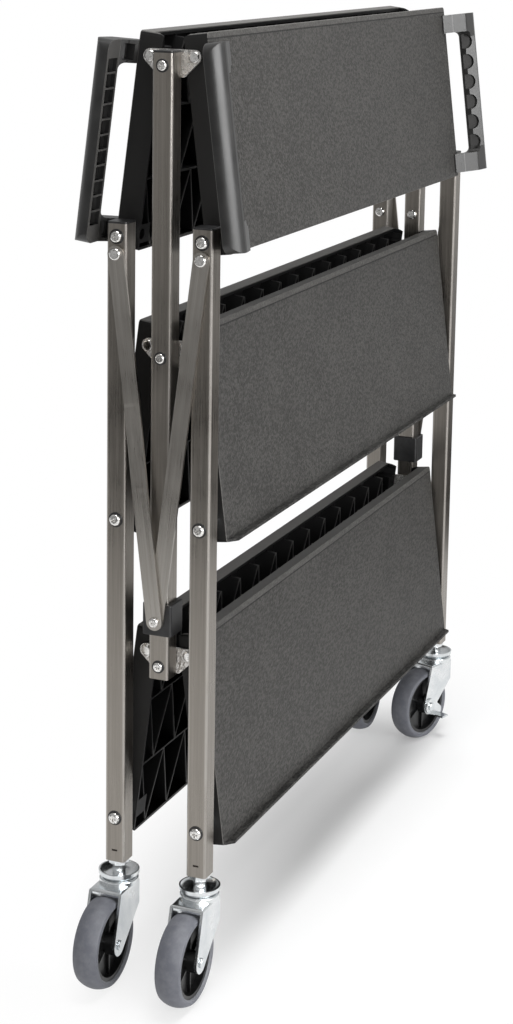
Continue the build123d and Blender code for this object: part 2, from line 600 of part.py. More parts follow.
# Legs and what is fixed to them.
nodes["near_left_leg"] = leg(LEG_Y)
nodes["near_right_leg"] = leg(-LEG_Y)
nodes["far_right_leg"] = half_turn(leg(LEG_Y))
nodes["far_left_leg"] = half_turn(leg(-LEG_Y)) - catch_hole(HALF - TUBE, LEG_Y)
for side, name in ((1, "left"), (-1, "right")):
    bolt_top = TOP_BOLT_Z + BOLT_D / 2
    nodes[f"{name}_leg_plugs"] = group(tube_plug(end * LEG_X, side * LEG_Y, LEG_TOP, bolt_top) for end in (1, -1))
    bolts = [leg_bolt(side * LEG_Y, z) for z in heights.values()]
    bolts += [half_turn(leg_bolt(-side * LEG_Y, z)) for z in heights.values()]
    if name == "left":
        bolts.append(catch_screw(HALF - TUBE, LEG_Y))
    nodes[f"{name}_leg_bolts"] = group(bolts)
    spacers = [spacer(side * LEG_Y, z) for z in heights.values()]
    spacers += [half_turn(spacer(-side * LEG_Y, z)) for z in heights.values()]
    nodes[f"{name}_spacers"] = group(spacers)
    nodes[f"{name}_brace_rivets"] = group([brace_rivet(side * LEG_Y), half_turn(brace_rivet(-side * LEG_Y))])
    nodes[f"{name}_caster_stems"] = group(at_leg(stem(), end, side) for end in (-1, 1))

# Centre frame.
nodes["near_post"] = post()
nodes["far_post"] = half_turn(post()) - catch_hole(HALF - POST_SETBACK - TUBE, 0)
screw_top = PIN_TOP_Z - SCREW_DROP + SCREW_D / 2
nodes["post_plugs"] = group(tube_plug(end * POST_X, 0, POST_TOP, screw_top) for end in (1, -1))
brackets = [bracket(z) for z in pins.values()]
nodes["hinge_brackets"] = group(brackets + [half_turn(b) for b in brackets])
screws = [bracket_screw(z) for z in pins.values()]
catch = catch_screw(HALF - POST_SETBACK - TUBE, 0)
nodes["bracket_screws"] = group(screws + [half_turn(s) for s in screws] + [catch])
hinge_pins = [hinge_pin(side * PIN_Y, z) for z in pins.values() for side in (1, -1)]
nodes["hinge_pins"] = group(hinge_pins + [half_turn(p) for p in hinge_pins])
for end, name in ((-1, "near"), (1, "far")):
    nodes[f"{name}_slider"] = slider() if end < 0 else half_turn(slider())

# Shelf halves with the grips on the top ones.
top_shelf = folded(handle_screw_holes(shelf(TOP_OVER, False)), "top")
nodes["left_top_shelf"] = top_shelf
nodes["right_top_shelf"] = half_turn(top_shelf)
for level, over in (("mid", MID_OVER), ("low", LOW_OVER)):
    rim_shelf = folded(shelf(over, True), level)
    nodes[f"left_{level}_shelf"] = rim_shelf
    nodes[f"right_{level}_shelf"] = half_turn(rim_shelf)
near_grip = handle()
nodes["near_left_grip"] = folded(near_grip, "top")
nodes["far_left_grip"] = folded(far_end(near_grip), "top")
nodes["far_right_grip"] = half_turn(folded(near_grip, "top"))
nodes["near_right_grip"] = half_turn(folded(far_end(near_grip), "top"))
grip_screws = [handle_screw(x, y) for x, y in handle_screw_spots()]
grip_screws += [far_end(s) for s in grip_screws]
nodes["left_grip_screws"] = group(folded(s, "top") for s in grip_screws)
nodes["right_grip_screws"] = group(half_turn(folded(s, "top")) for s in grip_screws)

# Braces: at each end the joggled one lies outside.
nodes["near_left_brace"] = hung(brace(True), 1)
nodes["near_right_brace"] = hung(brace(False), -1)
nodes["far_right_brace"] = half_turn(nodes["near_left_brace"])
nodes["far_left_brace"] = half_turn(nodes["near_right_brace"])
nodes["near_brace_screw"] = brace_screw()
nodes["far_brace_screw"] = half_turn(brace_screw())

# Casters, with brakes on the far ones.
for end, end_name in ((-1, "near"), (1, "far")):
    for side, side_name in ((1, "left"), (-1, "right")):
        name = f"{end_name}_{side_name}"
        turn = FAR_RIGHT_TURN if name == "far_right" else 0.0
        nodes[f"{name}_fork"] = at_leg(fork(), end, side, turn)
        nodes[f"{name}_hub"] = at_leg(hub(), end, side, turn)
        nodes[f"{name}_tyre"] = at_leg(tyre(), end, side, turn)
        bolt = axle(PEDAL + 2 * APART if end > 0 else 0.0)
        lever = pedal()
        if side > 0:
            bolt = mirror(bolt, about=Plane.XZ)
            lever = mirror(lever, about=Plane.XZ)
        nodes[f"{name}_axle"] = at_leg(bolt, end, side, turn)
        if end > 0:
            nodes[f"{name}_pedal"] = at_leg(lever, end, side, turn)

os.makedirs("parts", exist_ok=True)
for name, shape in nodes.items():
    export_step(Pos(ORIGIN, 0, 0) * shape, f"parts/{name}.step")
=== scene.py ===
import json
from math import pi, radians

import bmesh
import bpy
from mathutils import Matrix, Vector


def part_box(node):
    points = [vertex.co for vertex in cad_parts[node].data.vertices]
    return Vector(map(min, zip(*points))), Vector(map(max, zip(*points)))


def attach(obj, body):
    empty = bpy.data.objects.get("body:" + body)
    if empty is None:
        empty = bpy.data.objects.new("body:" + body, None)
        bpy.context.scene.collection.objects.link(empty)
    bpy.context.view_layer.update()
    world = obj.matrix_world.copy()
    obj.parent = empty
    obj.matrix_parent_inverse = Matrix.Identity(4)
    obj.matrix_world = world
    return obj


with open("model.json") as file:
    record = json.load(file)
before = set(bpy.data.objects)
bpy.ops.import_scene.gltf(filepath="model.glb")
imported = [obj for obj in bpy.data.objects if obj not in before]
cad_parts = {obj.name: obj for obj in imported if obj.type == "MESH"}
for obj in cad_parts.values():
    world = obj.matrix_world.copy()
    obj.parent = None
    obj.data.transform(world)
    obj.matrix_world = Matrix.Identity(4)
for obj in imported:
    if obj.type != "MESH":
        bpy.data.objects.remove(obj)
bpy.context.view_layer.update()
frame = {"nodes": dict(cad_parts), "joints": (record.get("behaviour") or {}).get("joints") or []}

# Legs and posts: six square tubes of brushed stainless steel, cut to length and drilled for the pivot
# bolts and the bracket screws. The grain runs along each tube, and handling has polished its corners.
BRUSHED_LOW = (0.205, 0.188, 0.166, 1)
BRUSHED_HIGH = (0.315, 0.291, 0.262, 1)
BRUSHED_ROUGH = (0.24, 0.36)
POLISHED_CORNER = (0.6, 0.575, 0.545, 1)
USUAL_RANGE = (0.3, 0.7)  # most of a noise lies in here
GRAIN_DRAWN = (1, 1, 0.008)  # drawn out along the tube
GRAIN_SHARE = 0.6
BAND_SHARE = 0.4
LINE_RANGE = (0.32, 0.68)
SMUDGE_RANGE = (0.35, 0.7)
SMUDGE_ROUGH = (-0.03, 0.07)  # added to the roughness of the steel
TUBE_FLAT = 0.0091  # metres from the middle of a side to where its corner rounds off
CORNER_RANGE = (TUBE_FLAT - 0.0008, TUBE_FLAT + 0.0006)
CORNER_POLISH = (0, 0.4)
PATCHY_RANGE = (0.25, 0.55)
PATCHY_POLISH = (0.45, 1)  # share of the polish that smudges leave
MIX_FIRST, MIX_SECOND, MIX_RESULT = 6, 7, 2  # a Mix node's colour sockets, which share their names


def new_finish(name, **constants):
    """A material with its constant values set on the shader itself."""
    finish = bpy.data.materials.new(name)
    finish.use_nodes = True
    shader = finish.node_tree.nodes["Principled BSDF"]
    for socket, value in constants.items():
        shader.inputs[socket.replace("_", " ")].default_value = value
    return finish


def add(finish, kind, settings=None, inputs=None):
    """Adds a node to a finish: inputs that are sockets are linked, and others are set."""
    node = finish.node_tree.nodes.new("ShaderNode" + kind)
    for name, value in (settings or {}).items():
        setattr(node, name, value)
    for name, value in (inputs or {}).items():
        if isinstance(value, bpy.types.NodeSocket):
            finish.node_tree.links.new(value, node.inputs[name])
        else:
            node.inputs[name].default_value = value
    return node


def to_shader(finish, **sockets):
    """Links node outputs to the shader's own sockets."""
    shader = finish.node_tree.nodes["Principled BSDF"]
    for name, socket in sockets.items():
        finish.node_tree.links.new(socket, shader.inputs[name.replace("_", " ")])


def local_place(finish, centre=(0, 0, 0), turn=(0, 0, 0), stretch=(1, 1, 1)):
    """Object coordinates measured from a piece's own centre and along its own directions."""
    coords = add(finish, "TexCoord").outputs["Object"]
    inputs = {"Vector": coords, "Location": centre, "Rotation": turn, "Scale": stretch}
    return add(finish, "Mapping", {"vector_type": "TEXTURE"}, inputs).outputs["Vector"]


def drawn_out(finish, place, scale):
    """The same place with its directions scaled, so that a pattern is drawn out along the smallest."""
    return add(finish, "Mapping", None, {"Vector": place, "Scale": scale}).outputs["Vector"]


def axes(finish, place):
    """The X, Y and Z of a place."""
    outputs = add(finish, "SeparateXYZ", None, {"Vector": place}).outputs
    return [outputs[axis] for axis in "XYZ"]


def noise(finish, place, scale, detail=3.0, rough=0.5):
    """Cloudy noise, with its scale in cells to a metre."""
    inputs = {"Vector": place, "Scale": scale, "Detail": detail, "Roughness": rough}
    return add(finish, "TexNoise", None, inputs).outputs["Fac"]


def calc(finish, operation, a, b=0.0, c=0.0):
    """One step of arithmetic."""
    return add(finish, "Math", {"operation": operation}, {0: a, 1: b, 2: c}).outputs[0]


def weighed(finish, a, a_share, b, b_share):
    """Two values added together, each by its share."""
    return calc(finish, "MULTIPLY_ADD", a, a_share, calc(finish, "MULTIPLY", b, b_share))


def spread(finish, value, given, wanted=(0, 1)):
    """Takes a value from the range given to the range wanted, and holds it at the ends."""
    inputs = {"Value": value, "From Min": given[0], "From Max": given[1]}
    inputs |= {"To Min": wanted[0], "To Max": wanted[1]}
    return add(finish, "MapRange", None, inputs).outputs["Result"]


def mix_colours(finish, factor, first, second):
    """Goes from the first colour to the second as the factor goes from nought to one."""
    inputs = {"Factor": factor, MIX_FIRST: first, MIX_SECOND: second}
    return add(finish, "Mix", {"data_type": "RGBA"}, inputs).outputs[MIX_RESULT]


def bump(finish, height, strength, distance):
    """Surface relief, with its depth in metres."""
    inputs = {"Height": height, "Strength": strength, "Distance": distance}
    return add(finish, "Bump", None, inputs).outputs["Normal"]


def dress(node, finish):
    """Gives a CAD piece its finish."""
    slots = frame["nodes"][node].data.materials
    slots.clear()
    slots.append(finish)


def brushed_steel(name, centre, lean=0.0, low=BRUSHED_LOW, high=BRUSHED_HIGH):
    """Brushed stainless steel with the grain along the piece, leaning from upright by an angle."""
    finish = new_finish(name, Metallic=1.0, Anisotropic=0.6)
    place = local_place(finish, centre, (lean, 0, 0))
    drawn = drawn_out(finish, place, GRAIN_DRAWN)
    grain = noise(finish, drawn, scale=1500, detail=4, rough=0.7)
    bands = noise(finish, drawn, scale=260, detail=2)
    smudges = noise(finish, place, scale=9, detail=4, rough=0.6)
    lines = weighed(finish, grain, GRAIN_SHARE, bands, BAND_SHARE)
    steel = mix_colours(finish, spread(finish, lines, LINE_RANGE), low, high)
    x, y, _ = axes(finish, place)
    corner = calc(finish, "MINIMUM", calc(finish, "ABSOLUTE", x), calc(finish, "ABSOLUTE", y))
    polish = spread(finish, corner, CORNER_RANGE, CORNER_POLISH)
    polish = calc(finish, "MULTIPLY", polish, spread(finish, smudges, PATCHY_RANGE, PATCHY_POLISH))
    rough = spread(finish, grain, USUAL_RANGE, BRUSHED_ROUGH)
    smudged = spread(finish, smudges, SMUDGE_RANGE, SMUDGE_ROUGH)
    round_piece = add(finish, "Tangent", {"direction_type": "RADIAL", "axis": "Z"})
    to_shader(
        finish,
        Base_Color=mix_colours(finish, polish, steel, POLISHED_CORNER),
        Roughness=calc(finish, "ADD", rough, smudged),
        Normal=bump(finish, lines, strength=0.12, distance=0.0002),
        Tangent=round_piece.outputs[0],
    )
    return finish


def centre_of(node):
    """The middle of a CAD piece's box."""
    low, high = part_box(node)
    return (low + high) / 2


for tube in ("near_left_leg", "near_right_leg", "far_left_leg", "far_right_leg", "near_post", "far_post"):
    dress(tube, brushed_steel("brushed_" + tube, centre_of(tube)))

# Plugs and sliders: black nylon mouldings. The plugs close the tube ends, and each slider is a collar
# that runs on its post and carries the brace screw. Slightly shiny, with a faint moulded grain.
NYLON_DEEP = (0.010, 0.010, 0.0105, 1)
NYLON_RUBBED = (0.028, 0.028, 0.029, 1)
NYLON_RANGE = (0.35, 0.75)
NYLON_ROUGH = (0.34, 0.5)

nylon = new_finish("black_nylon", Specular_IOR_Level=0.45)
nylon_place = local_place(nylon)
nylon_clouds = noise(nylon, nylon_place, scale=60, detail=5, rough=0.6)
nylon_grain = noise(nylon, nylon_place, scale=1400, detail=2)
nylon_rubbed = spread(nylon, nylon_clouds, NYLON_RANGE)
to_shader(
    nylon,
    Base_Color=mix_colours(nylon, nylon_rubbed, NYLON_DEEP, NYLON_RUBBED),
    Roughness=spread(nylon, nylon_clouds, USUAL_RANGE, NYLON_ROUGH),
    Normal=bump(nylon, nylon_grain, strength=0.15, distance=0.0002),
)
for moulding in ("left_leg_plugs", "right_leg_plugs", "post_plugs", "near_slider", "far_slider"):
    dress(moulding, nylon)

# Caster forks, stems, axles and brake pedals, and the spacers on the leg bolts: steel with a bright zinc
# plating, faintly blue, with the soft cloudy spangle of the plating and finer tumbling scratches.
ZINC_COOL = (0.62, 0.65, 0.67, 1)
ZINC_BRIGHT = (0.80, 0.815, 0.82, 1)
ZINC_ROUGH = (0.16, 0.3)
# Painted shade: the dark brownish colour of the stems where they are hidden in the leg tubes.
ZINC_IN_TUBE_SHADE = (0.11, 0.098, 0.088, 1)
INSIDE_ROUGH = 0.6
INSIDE_BLEND = 0.001


def zinc_finish(name, leg_end=None):
    """Bright zinc plating; above the given height, hidden in the tube, it is painted dark as shade and
    rough.
    """
    finish = new_finish(name, Metallic=1.0)
    place = local_place(finish)
    clouds = noise(finish, place, scale=45, detail=4, rough=0.6)
    scratches = noise(finish, place, scale=1100, detail=3, rough=0.7)
    colour = mix_colours(finish, spread(finish, clouds, USUAL_RANGE), ZINC_COOL, ZINC_BRIGHT)
    rough = spread(finish, clouds, USUAL_RANGE, ZINC_ROUGH)
    if leg_end:
        _, _, z = axes(finish, place)
        inside = spread(finish, z, (leg_end, leg_end + INSIDE_BLEND))
        # Painted shade where the stem is hidden in the tube.
        colour = mix_colours(finish, inside, colour, ZINC_IN_TUBE_SHADE)
        rough = calc(finish, "MAXIMUM", rough, calc(finish, "MULTIPLY", inside, INSIDE_ROUGH))
    scratched = bump(finish, scratches, strength=0.1, distance=0.0001)
    to_shader(finish, Base_Color=colour, Roughness=rough, Normal=scratched)
    return finish


zinc = zinc_finish("bright_zinc")
stem_zinc = zinc_finish("stem_zinc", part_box("near_left_leg")[0].z)
corners = ("near_left", "near_right", "far_left", "far_right")
for corner in corners:
    dress(corner + "_fork", zinc)
    dress(corner + "_axle", zinc)
for plated in ("far_left_pedal", "far_right_pedal", "left_spacers", "right_spacers"):
    dress(plated, zinc)
for stems in ("left_caster_stems", "right_caster_stems"):
    dress(stems, stem_zinc)

# Wheels: a grey rubber tyre moulded on a glossy black hub. The tyre has a paler ring painted as a
# highlight where it meets the hub, a mould line round the middle and dusty scuffs where it rolls.
RUBBER = (0.122, 0.127, 0.148, 1)
RUBBER_DUSTY = (0.188, 0.193, 0.213, 1)
# Painted highlight: a paler ring round the tyre's inner edge, where it meets the hub.
RUBBER_LIP_HIGHLIGHT = (0.22, 0.225, 0.245, 1)
RUBBER_ROUGH = (0.46, 0.62)
LIP_RADIUS = 0.0412
LIP_RANGE = (LIP_RADIUS + 0.0012, LIP_RADIUS)
LIP_HIGHLIGHT_SHARE = (0, 0.8)
DUST_RANGE = (0.4, 0.7)
DUST_SHARE = (0, 0.9)
ROLLING_RANGE = (0.042, 0.05)  # from the side of the tyre out to where it rolls
ROLLING_DUST = (0.3, 1)
MOULD_LINE = (0.0, 0.0005)
GRIT_SHARE = 0.25
HUB_BLACK = (0.004, 0.004, 0.0045, 1)
HUB_DUSTY = (0.013, 0.013, 0.0135, 1)
HUB_DUST_RANGE = (0.45, 0.75)
HUB_ROUGH = (0.3, 0.45)


def joint_of(name):
    """The joint of that name."""
    return next(j for j in frame["joints"] if j["name"] == name)


for corner in corners:
    roll = joint_of(corner + "_roll")
    swing = Vector((0, 1, 0)).rotation_difference(Vector(roll["axis"])).to_euler()
    rubber = new_finish(corner + "_grey_rubber", Specular_IOR_Level=0.35)
    wheel_place = local_place(rubber, roll["pos_m"], swing)
    x, y, z = axes(rubber, wheel_place)
    disc = add(rubber, "CombineXYZ", None, {"X": x, "Z": z})
    reach = add(rubber, "VectorMath", {"operation": "LENGTH"}, {0: disc.outputs[0]}).outputs["Value"]
    # Painted highlight on the tyre's lip, all round the hub.
    lip_highlight = spread(rubber, reach, LIP_RANGE, LIP_HIGHLIGHT_SHARE)
    clouds = noise(rubber, wheel_place, scale=70, detail=5, rough=0.65)
    grit = noise(rubber, wheel_place, scale=1600, detail=2)
    dusty = spread(rubber, clouds, DUST_RANGE, DUST_SHARE)
    dusty = calc(rubber, "MULTIPLY", dusty, spread(rubber, reach, ROLLING_RANGE, ROLLING_DUST))
    skin = mix_colours(rubber, dusty, RUBBER, RUBBER_DUSTY)
    mould_line = spread(rubber, calc(rubber, "ABSOLUTE", y), MOULD_LINE, (1, 0))
    relief = calc(rubber, "MULTIPLY_ADD", grit, GRIT_SHARE, mould_line)
    to_shader(
        rubber,
        Base_Color=mix_colours(rubber, lip_highlight, skin, RUBBER_LIP_HIGHLIGHT),
        Roughness=spread(rubber, clouds, USUAL_RANGE, RUBBER_ROUGH),
        Normal=bump(rubber, relief, strength=0.25, distance=0.0003),
    )
    dress(corner + "_tyre", rubber)
    hub_black = new_finish(corner + "_hub_black", Specular_IOR_Level=0.5)
    hub_place = local_place(hub_black, roll["pos_m"], swing)
    hub_clouds = noise(hub_black, hub_place, scale=90, detail=4, rough=0.6)
    hub_grain = noise(hub_black, hub_place, scale=900, detail=2)
    hub_dust = spread(hub_black, hub_clouds, HUB_DUST_RANGE)
    to_shader(
        hub_black,
        Base_Color=mix_colours(hub_black, hub_dust, HUB_BLACK, HUB_DUSTY),
        Roughness=spread(hub_black, hub_clouds, USUAL_RANGE, HUB_ROUGH),
        Normal=bump(hub_black, hub_grain, strength=0.08, distance=0.0002),
    )
    dress(corner + "_hub", hub_black)

# Hinge brackets: stamped plates of bright stainless steel, each held to its post by one screw, with the
# slight waviness and tumbling marks of a small pressing.
BRACKET_DULL = (0.62, 0.60, 0.575, 1)
BRACKET_BRIGHT = (0.92, 0.905, 0.885, 1)
BRACKET_ROUGH = (0.22, 0.4)
MARK_SHARE = 0.2

stamped = new_finish("stamped_bracket", Metallic=1.0)
stamped_place = local_place(stamped)
stamped_waves = noise(stamped, stamped_place, scale=260)
stamped_marks = noise(stamped, stamped_place, scale=700, detail=4, rough=0.7)
stamped_skin = calc(stamped, "MULTIPLY_ADD", stamped_marks, MARK_SHARE, stamped_waves)
stamped_shine = spread(stamped, stamped_marks, USUAL_RANGE)
to_shader(
    stamped,
    Base_Color=mix_colours(stamped, stamped_shine, BRACKET_DULL, BRACKET_BRIGHT),
    Roughness=spread(stamped, stamped_marks, USUAL_RANGE, BRACKET_ROUGH),
    Normal=bump(stamped, stamped_skin, strength=0.9, distance=0.002),
)
dress("hinge_brackets", stamped)

# Shelf halves: injection-moulded charcoal plastic. The tread has a fine leather-like texture, the walls
# are smoother, and the ribbed underside is painted near black as shade, with its rib edges painted paler
# as highlights.
TREAD_DARK = (0.010, 0.0096, 0.0091, 1)
TREAD_PALE = (0.049, 0.0474, 0.045, 1)
TREAD_PALER = (0.15, 0.145, 0.137, 1)
# Painted light: a grey for the inner wall, lit from above; a dark for shade on the end walls and in the
# tread's groove; a near black for shade in the ribbed underside; and a paler grey for highlights on the
# rib edges.
INNER_WALL_LIGHT_GREY = (0.12, 0.117, 0.112, 1)
END_AND_GROOVE_SHADE = (0.020, 0.0195, 0.019, 1)
UNDER_SHADE_BLACK = (0.0045, 0.0045, 0.0047, 1)
RIB_EDGE_HIGHLIGHT = (0.065, 0.064, 0.062, 1)
UNDER_TO_TREAD_ROUGH = (0.5, 0.58)
PATCH_ROUGH = (-0.05, 0.05)  # added to the roughness of the plastic
# Texture of the tread: how the noises are drawn out and shared.
MOTTLE_DRAWN = (0.5, 1, 1)
MOTTLE_DEPTH = 0.5
PEBBLE_DEPTH = 0.9
WALL_TO_TREAD_DEPTH = (0.12, 1)
MOTTLE_SHARE = 0.75
PATCH_SHARE = 0.25
SHADE_RANGE = (0.42, 0.59)
SCUFF_RANGE = (0.62, 0.78)
SCUFF_SHARE = (0, 0.3)
# Places on a shelf half in metres: above its hinge pins, outwards from them, and along from its middle.
TREAD_TOP = 0.016
TREAD_RANGE = (TREAD_TOP - 0.0013, TREAD_TOP - 0.0009)
# The tread's edge is paler here, partly wear and partly a painted highlight where the edge catches the
# light.
WEAR_AND_HIGHLIGHT_LINE = TREAD_TOP - 0.0006
WEAR_AND_HIGHLIGHT_RANGE = (0.0002, 0.0007)
WEAR_AND_HIGHLIGHT_SHARE = (0.7, 0)
RIB_FOOT = -0.0105
RIB_RANGE = (RIB_FOOT + 0.0012, RIB_FOOT + 0.0004)
RIB_HIGHLIGHT_SHARE = (0, 0.8)
INNER_EDGE = -0.024
INNER_RANGE = (INNER_EDGE + 0.0005, INNER_EDGE + 0.0015)
GROOVE_LINE = INNER_EDGE + 0.007
GROOVE_RANGE = (0.0006, 0.0011)
BORDER_RANGE = (GROOVE_LINE - 0.0005, GROOVE_LINE)
BORDER_SHARE = (0.2, 0)
SHELF_END = 0.394
END_RANGE = (SHELF_END - 0.001, SHELF_END - 0.0005)
BLOCK_START = SHELF_END - 0.024
BLOCK_RANGE = (BLOCK_START - 0.001, BLOCK_START)
fold = radians(joint_of("fold")["range_deg"][1])


def shelf_place(finish, side, level):
    """Coordinates of an open shelf half: X along it, Y outwards from its hinge pins, Z up from them."""
    x, y, z = joint_of(f"right_{level}_pins")["pos_m"]
    if side == "left":
        return local_place(finish, (x, -y, z), (-fold, 0, 0))
    return local_place(finish, (x, y, z), (-fold, 0, pi))


def off_line(finish, value, line):
    """How far a value is from a line, on either side."""
    return calc(finish, "ABSOLUTE", calc(finish, "SUBTRACT", value, line))


def shelf_finish(side, level):
    """Tread, walls and underside of one shelf half, told apart by where they are on it."""
    finish = new_finish(f"charcoal_{side}_{level}_shelf", Specular_IOR_Level=0.2)
    place = shelf_place(finish, side, level)
    x, y, z = axes(finish, place)
    along = calc(finish, "ABSOLUTE", x)
    pebbles = {"Vector": place, "Scale": 420, "Smoothness": 0.6}
    pebbles = add(finish, "TexVoronoi", {"feature": "SMOOTH_F1"}, pebbles).outputs["Distance"]
    mottle = noise(finish, drawn_out(finish, place, MOTTLE_DRAWN), scale=300, detail=3, rough=0.65)
    patches = noise(finish, place, scale=14, detail=5, rough=0.65)
    scuffs = noise(finish, place, scale=38, detail=6, rough=0.75)

    # Tread: mottled and scuffed, paler along its edges from wear and a painted highlight, with a fine
    # groove inside its paler border that is painted dark as shade.
    shade = weighed(finish, mottle, MOTTLE_SHARE, patches, PATCH_SHARE)
    scuffed = spread(finish, scuffs, SCUFF_RANGE, SCUFF_SHARE)
    # Paler edge line: partly wear, partly a painted highlight.
    edge_wear_and_highlight = spread(finish, off_line(finish, z, WEAR_AND_HIGHLIGHT_LINE), WEAR_AND_HIGHLIGHT_RANGE, WEAR_AND_HIGHLIGHT_SHARE)
    border = spread(finish, y, BORDER_RANGE, BORDER_SHARE)
    groove = spread(finish, off_line(finish, y, GROOVE_LINE), GROOVE_RANGE, (1, 0))
    tread = mix_colours(finish, spread(finish, shade, SHADE_RANGE), TREAD_DARK, TREAD_PALE)
    for paler_mark in (scuffed, edge_wear_and_highlight, border):
        tread = mix_colours(finish, paler_mark, tread, TREAD_PALER)
    # Painted shade in the groove.
    tread = mix_colours(finish, groove, tread, END_AND_GROOVE_SHADE)

    # Walls and underside: painted near black as shade, with rib edges between the pivot blocks painted
    # paler as highlights, the inner wall painted grey for the light it catches from above, and the end
    # walls painted dark as shade.
    inner = spread(finish, y, INNER_RANGE, (1, 0))
    end = spread(finish, along, END_RANGE)
    off_block = spread(finish, along, BLOCK_RANGE, (1, 0))
    rib_edge_highlight = calc(finish, "MULTIPLY", spread(finish, z, RIB_RANGE, RIB_HIGHLIGHT_SHARE), off_block)
    # Painted shade: the underside near black, with painted highlights on the rib edges.
    under = mix_colours(finish, rib_edge_highlight, UNDER_SHADE_BLACK, RIB_EDGE_HIGHLIGHT)
    # Painted light on the inner wall, grey where it faces the light from above.
    under = mix_colours(finish, inner, under, INNER_WALL_LIGHT_GREY)
    # Painted shade on the end walls.
    under = mix_colours(finish, end, under, END_AND_GROOVE_SHADE)

    # Both together, with the full texture on the tread only.
    on_tread = spread(finish, z, TREAD_RANGE)
    rough = spread(finish, calc(finish, "MAXIMUM", on_tread, inner), (0, 1), UNDER_TO_TREAD_ROUGH)
    rough = calc(finish, "ADD", rough, spread(finish, patches, USUAL_RANGE, PATCH_ROUGH))
    grain = weighed(finish, pebbles, PEBBLE_DEPTH, mottle, MOTTLE_DEPTH)
    relief = calc(finish, "MULTIPLY", grain, spread(finish, on_tread, (0, 1), WALL_TO_TREAD_DEPTH))
    relief = calc(finish, "SUBTRACT", relief, calc(finish, "MULTIPLY", groove, on_tread))
    to_shader(
        finish,
        Base_Color=mix_colours(finish, on_tread, under, tread),
        Roughness=rough,
        Normal=bump(finish, relief, strength=0.7, distance=0.0007),
    )
    return finish


for side in ("left", "right"):
    for level in ("top", "mid", "low"):
        dress(f"{side}_{level}_shelf", shelf_finish(side, level))

# Hand grips: satin black loop handles, moulded in one piece and screwed to the ends of the top shelf. The
# skin has a fine spark-eroded texture, a little paler where hands rub it. The finger scoops are matt. The
# pockets underneath are painted deep black as shade, and the edges along the underside are painted paler
# as a highlight.
GRIP_BLACK = (0.009, 0.0088, 0.0085, 1)
GRIP_RUBBED = (0.021, 0.0205, 0.0198, 1)
# Painted highlight along the grip's underside edges.
GRIP_EDGE_HIGHLIGHT = (0.075, 0.073, 0.07, 1)
GRIP_RANGE = (0.38, 0.68)
GRIP_ROUGH = (0.32, 0.44)
SATIN_TO_MATT = (0.55, 0.02)  # specular level
# Painted shade: the pockets underneath.
POCKET_SHADE_BLACK = (0.001, 0.001, 0.001, 1)
SCOOP_BLACK = (0.020, 0.0194, 0.0186, 1)
SCOOP_MATT = 0.85
# Places in metres, measured as on the shelf half that carries the grip.
POCKET_ALONG = (0.4226, 0.4352)
POCKET_ACROSS = (0.001, 0.186)
POCKET_HIGH = (0.0284, 0.0367)
UNDERSIDE = (0.0277, 0.0284)
SCOOP_SPOT = (0.411, 0.03655)  # a point of the sloping face with the scoops, along and up
SCOOP_FACING = (-0.7399, 0.6727)  # the direction in which that face looks
SCOOP_FLOOR = (-0.0037, -0.0033)  # how far below that face the floors of the scoops lie


def within(finish, value, limits):
    """One inside the limits, and nought outside them."""
    over = calc(finish, "GREATER_THAN", value, limits[0])
    return calc(finish, "MULTIPLY", over, calc(finish, "LESS_THAN", value, limits[1]))


for side in ("left", "right"):
    satin = new_finish(side + "_satin_grip")
    satin_place = shelf_place(satin, side, "top")
    x, y, z = axes(satin, satin_place)
    along = calc(satin, "ABSOLUTE", x)
    pocket = within(satin, along, POCKET_ALONG)
    pocket = calc(satin, "MULTIPLY", pocket, within(satin, y, POCKET_ACROSS))
    pocket = calc(satin, "MULTIPLY", pocket, within(satin, z, POCKET_HIGH))
    inward = calc(satin, "SUBTRACT", along, SCOOP_SPOT[0])
    upward = calc(satin, "SUBTRACT", z, SCOOP_SPOT[1])
    scoop = within(satin, weighed(satin, inward, SCOOP_FACING[0], upward, SCOOP_FACING[1]), SCOOP_FLOOR)
    matt = calc(satin, "MAXIMUM", pocket, calc(satin, "MULTIPLY", scoop, SCOOP_MATT))
    satin_clouds = noise(satin, satin_place, scale=28, detail=5, rough=0.6)
    satin_skin = noise(satin, satin_place, scale=1500, detail=2)
    skin = mix_colours(satin, spread(satin, satin_clouds, GRIP_RANGE), GRIP_BLACK, GRIP_RUBBED)
    # Painted highlight along the underside edges.
    skin = mix_colours(satin, within(satin, z, UNDERSIDE), skin, GRIP_EDGE_HIGHLIGHT)
    skin = mix_colours(satin, scoop, skin, SCOOP_BLACK)
    to_shader(
        satin,
        # Painted shade in the pockets.
        Base_Color=mix_colours(satin, pocket, skin, POCKET_SHADE_BLACK),
        Roughness=spread(satin, satin_clouds, USUAL_RANGE, GRIP_ROUGH),
        Specular_IOR_Level=spread(satin, matt, (0, 1), SATIN_TO_MATT),
        Normal=bump(satin, satin_skin, strength=0.12, distance=0.0002),
    )
    for end in ("near", "far"):
        dress(f"{end}_{side}_grip", satin)

# Braces: flat bars of the same brushed stainless steel, rounded at the ends, one joggled over the other.
# They hang from a rivet on each leg and meet at the slider, so their grain leans with them. Their colours
# are paler than the tubes', a painted sheen for the brighter reflections on the bars.
# Painted sheen: a paler copy of the tubes' steel colours, for the brighter reflections of the bars.
BAR_LOW_WITH_SHEEN = (0.31, 0.291, 0.266, 1)
BAR_HIGH_WITH_SHEEN = (0.44, 0.417, 0.386, 1)

for corner in corners:
    pivot = joint_of(corner + "_brace_pivot")["pos_m"]
    low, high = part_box(corner + "_brace")
    drop = high.z - low.z
    aside = (low.y + high.y) / 2 - pivot[1]
    lean = 2 * aside / drop
    flat_bar = brushed_steel("brushed_" + corner + "_brace", pivot, lean, BAR_LOW_WITH_SHEEN, BAR_HIGH_WITH_SHEEN)
    dress(corner + "_brace", flat_bar)

